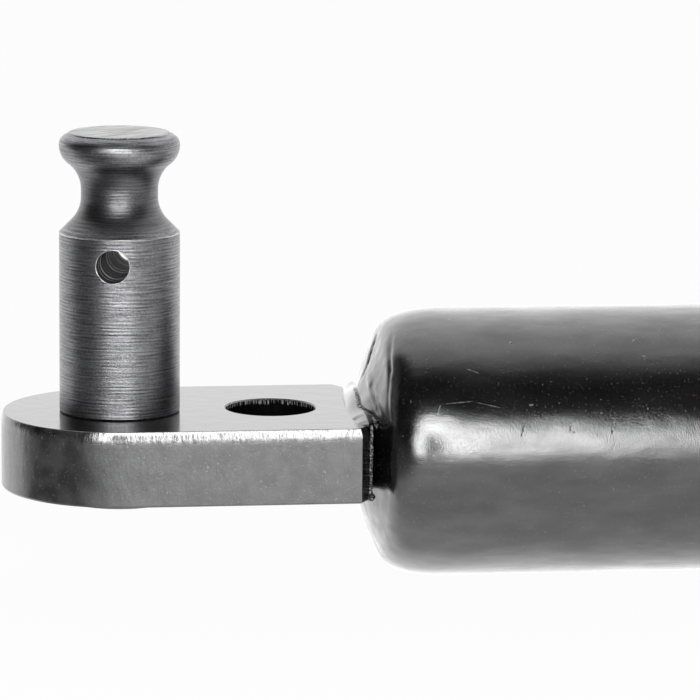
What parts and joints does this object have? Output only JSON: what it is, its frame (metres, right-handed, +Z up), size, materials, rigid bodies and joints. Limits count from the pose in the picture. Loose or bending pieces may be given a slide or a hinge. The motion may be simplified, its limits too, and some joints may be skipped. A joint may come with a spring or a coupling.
{
  "type": "gas spring",
  "caption": "Straight gas spring with a black tube, a welded flat lug with a grooved stud, a sliding rod and a flat eye at the rod's end.",
  "frame": {"origin": "on the stud's axis, at the lug's face that the stud's shoulder stands on", "axes": "+Z up the stud, +X along the strut from the stud to the rod's eye; the tube's axis is 2.5 mm below the origin"},
  "size_m": [0.4063, 0.018, 0.0302],
  "materials": {
    "black_enamel": "gloss black paint over steel, baked after welding",
    "turned_steel": "dark free-cutting steel, turned, with fine tool lines",
    "washer_steel": "pressed steel, bare",
    "seal_rubber": "black nitrile rubber",
    "guide_alloy": "turned aluminium, bare",
    "bearing_bronze": "sintered bronze bearing bush",
    "wiper_plastic": "black moulded acetal",
    "piston_alloy": "sintered and turned aluminium",
    "ring_plastic": "filled low-friction plastic",
    "hard_chrome": "ground and hard chrome plated steel",
    "zinc_plated_steel": "turned and forged steel, bright zinc plate"
  },
  "bodies": {
    "cylinder": {"pressure_tube": "black_enamel", "lug_plate": "black_enamel", "weld_over": "black_enamel", "weld_under": "black_enamel", "stud_pin": "turned_steel", "support_ring": "washer_steel", "rod_seal": "seal_rubber", "seal_core": "washer_steel", "seal_washer": "washer_steel", "rod_guide": "guide_alloy", "guide_bush": "bearing_bronze", "tube_o_ring": "seal_rubber", "wiper_ring": "wiper_plastic"},
    "slider": {"piston_ring": "ring_plastic"},
    "rod": {"front_washer": "washer_steel", "piston": "piston_alloy", "orifice_disc": "washer_steel", "rivet_washer": "washer_steel", "piston_rod": "hard_chrome", "rod_eye": "zinc_plated_steel"}
  },
  "joints": [
    {"name": "rod_slide", "type": "slide", "parent": "cylinder", "child": "slider", "axis": [-1, 0, 0], "range_m": [0, 0.15], "stiffness_N_per_m": 300, "springref_m": -0.5},
    {"name": "rod_turn", "type": "hinge", "parent": "slider", "child": "rod", "pos_m": [0.2, 0, -0.0025], "axis": [1, 0, 0], "continuous": true}
  ]
}
